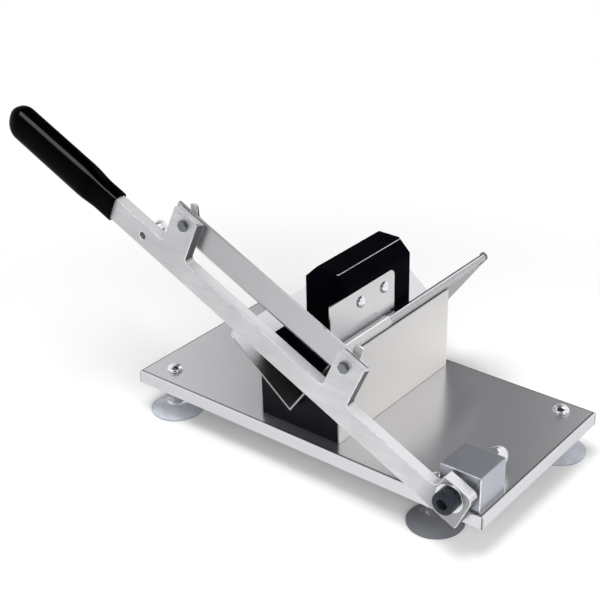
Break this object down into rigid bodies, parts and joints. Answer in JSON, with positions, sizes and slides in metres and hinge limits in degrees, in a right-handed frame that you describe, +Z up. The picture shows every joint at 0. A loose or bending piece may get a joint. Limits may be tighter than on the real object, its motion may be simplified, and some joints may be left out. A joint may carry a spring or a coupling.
{
  "type": "hand lever meat slicer",
  "caption": "Guillotine meat slicer: a long hand lever with a bolted blade shears past a V trough with a sliding pusher, on a steel plate with suction feet.",
  "frame": {"origin": "bottom centre of the bounding box, on the table", "axes": "+X from the hand grip towards the pivot block, +Y from the blade to the back, +Z up"},
  "size_m": [0.4604, 0.2358, 0.2529],
  "materials": {
    "plate_steel": "brushed",
    "panel_steel": "brushed",
    "trough_steel": "polished",
    "bracket_steel": "brushed",
    "blade_steel": "ground",
    "chrome": "polished",
    "black_oxide": "satin",
    "milled_arm": "milled",
    "cast_block": "bead blasted",
    "black_plastic": "satin",
    "dipped_grip": "gloss",
    "clear_vinyl": "translucent",
    "liner": "satin"
  },
  "bodies": {
    "base": {"base_plate": "plate_steel", "suction_cup_front_left": "clear_vinyl", "foot_screw_front_left": "chrome", "foot_nut_front_left": "chrome", "plate_nut_front_left": "chrome", "suction_cup_back_left": "clear_vinyl", "foot_screw_back_left": "chrome", "foot_nut_back_left": "chrome", "plate_nut_back_left": "chrome", "suction_cup_back_right": "clear_vinyl", "foot_screw_back_right": "chrome", "foot_nut_back_right": "chrome", "plate_nut_back_right": "chrome", "suction_cup_front_right": "clear_vinyl", "foot_screw_front_right": "chrome", "foot_nut_front_right": "chrome", "plate_nut_front_right": "chrome", "front_cheek": "black_plastic", "rear_cheek": "black_plastic", "left_panel": "panel_steel", "right_panel": "panel_steel", "meat_trough": "trough_steel", "cheek_screw_1": "chrome", "cheek_screw_2": "chrome", "cheek_screw_3": "chrome", "cheek_screw_4": "chrome", "guide_rod": "chrome", "pivot_block": "cast_block", "block_screw_1": "chrome", "block_screw_2": "chrome", "pivot_bolt": "black_oxide", "pivot_washer_front": "chrome", "pivot_spacer": "chrome", "pivot_washer_rear": "chrome", "pivot_cap_nut": "chrome"},
    "lever": {"lever_arm": "milled_arm", "hand_grip": "dipped_grip", "blade": "blade_steel", "blade_screw_inner": "chrome", "wing_nut_inner": "chrome", "blade_screw_outer": "chrome", "wing_nut_outer": "chrome", "stop_bolt": "chrome", "stop_sleeve": "chrome"},
    "carriage": {"guide_bush": "liner"},
    "pusher": {"pusher_bracket": "bracket_steel", "pusher_block": "black_plastic", "bracket_screw_front": "chrome", "bracket_screw_rear": "chrome"}
  },
  "joints": [
    {"name": "lever_pivot", "type": "hinge", "parent": "base", "child": "lever", "pos_m": [0.20918, -0.1021, 0.0518], "axis": [0, 1, 0], "range_deg": [-24.3, 60]},
    {"name": "pusher_slide", "type": "slide", "parent": "base", "child": "carriage", "axis": [0, 1, 0], "range_m": [0, 0.14]},
    {"name": "pusher_swing", "type": "hinge", "parent": "carriage", "child": "pusher", "pos_m": [0.09553, -0.05785, 0.121], "axis": [0, 1, 0], "range_deg": [0, 180]}
  ]
}
